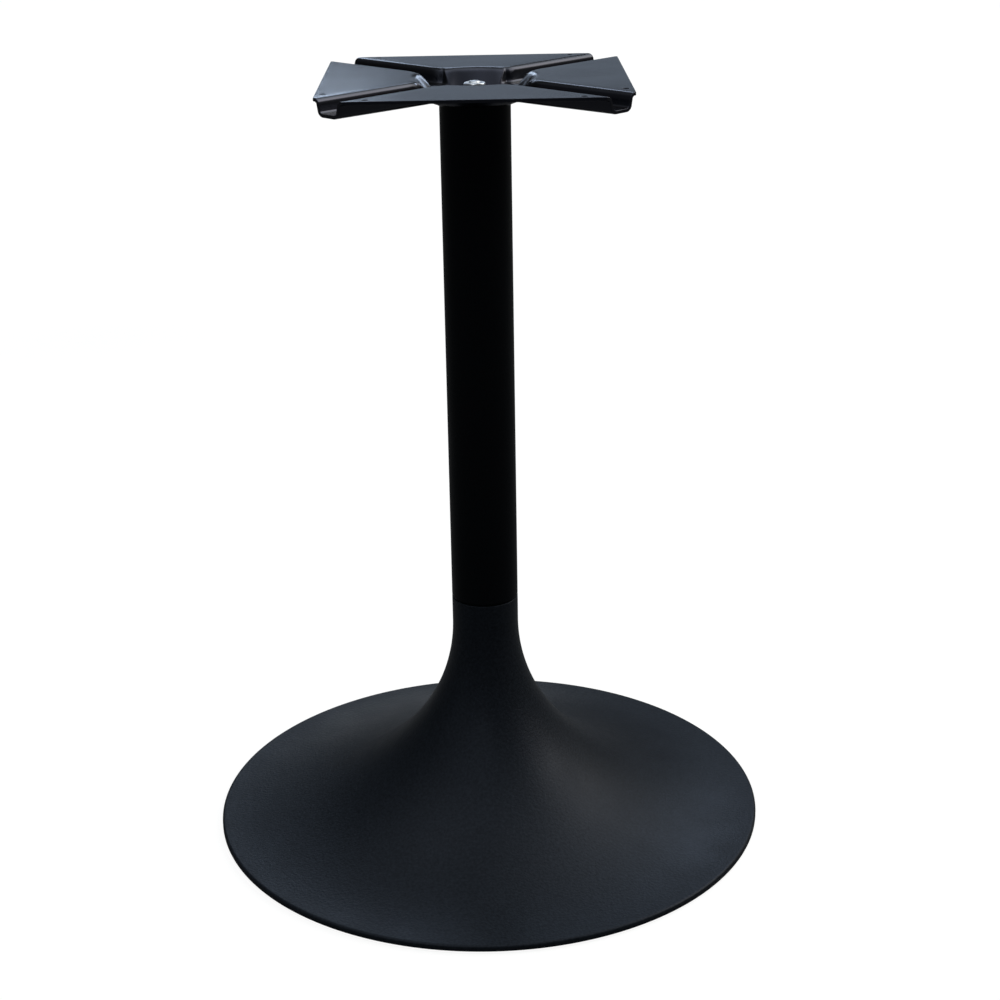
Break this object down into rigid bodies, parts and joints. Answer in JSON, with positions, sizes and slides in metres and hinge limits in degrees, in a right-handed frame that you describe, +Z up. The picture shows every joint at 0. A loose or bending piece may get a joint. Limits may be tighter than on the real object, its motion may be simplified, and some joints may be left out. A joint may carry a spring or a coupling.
{
  "type": "tulip table base",
  "caption": "Pedestal table base: flared trumpet foot, straight round column and a square pressed plate with crossed channels that screws under a table top.",
  "frame": {"origin": "centre of the foot on the floor, under the column's axis", "axes": "+Z up along the column, X and Y square to the sides of the top plate, -Y towards the front"},
  "size_m": [0.5299, 0.53, 0.72],
  "materials": {
    "cast_foot": "matt near-black powder coat with a fine grain on cast iron",
    "column": "matt near-black powder coat on steel tube",
    "pressed_plate": "satin near-black powder coat on pressed steel sheet",
    "zinc": "bright zinc plate on steel fasteners",
    "nylon": "moulded black nylon"
  },
  "bodies": {
    "root": {"base_shell": "cast_foot", "column_tube": "column", "top_plate": "pressed_plate", "centring_ring": "pressed_plate", "tie_rod": "zinc", "top_nut": "zinc", "top_washer": "zinc", "bottom_nut": "zinc", "bottom_washer": "zinc", "foot_stud_1": "zinc", "foot_stud_2": "zinc", "foot_stud_3": "zinc", "foot_stud_4": "zinc", "foot_pad_1": "nylon", "foot_pad_2": "nylon", "foot_pad_3": "nylon", "foot_pad_4": "nylon"}
  },
  "joints": []
}
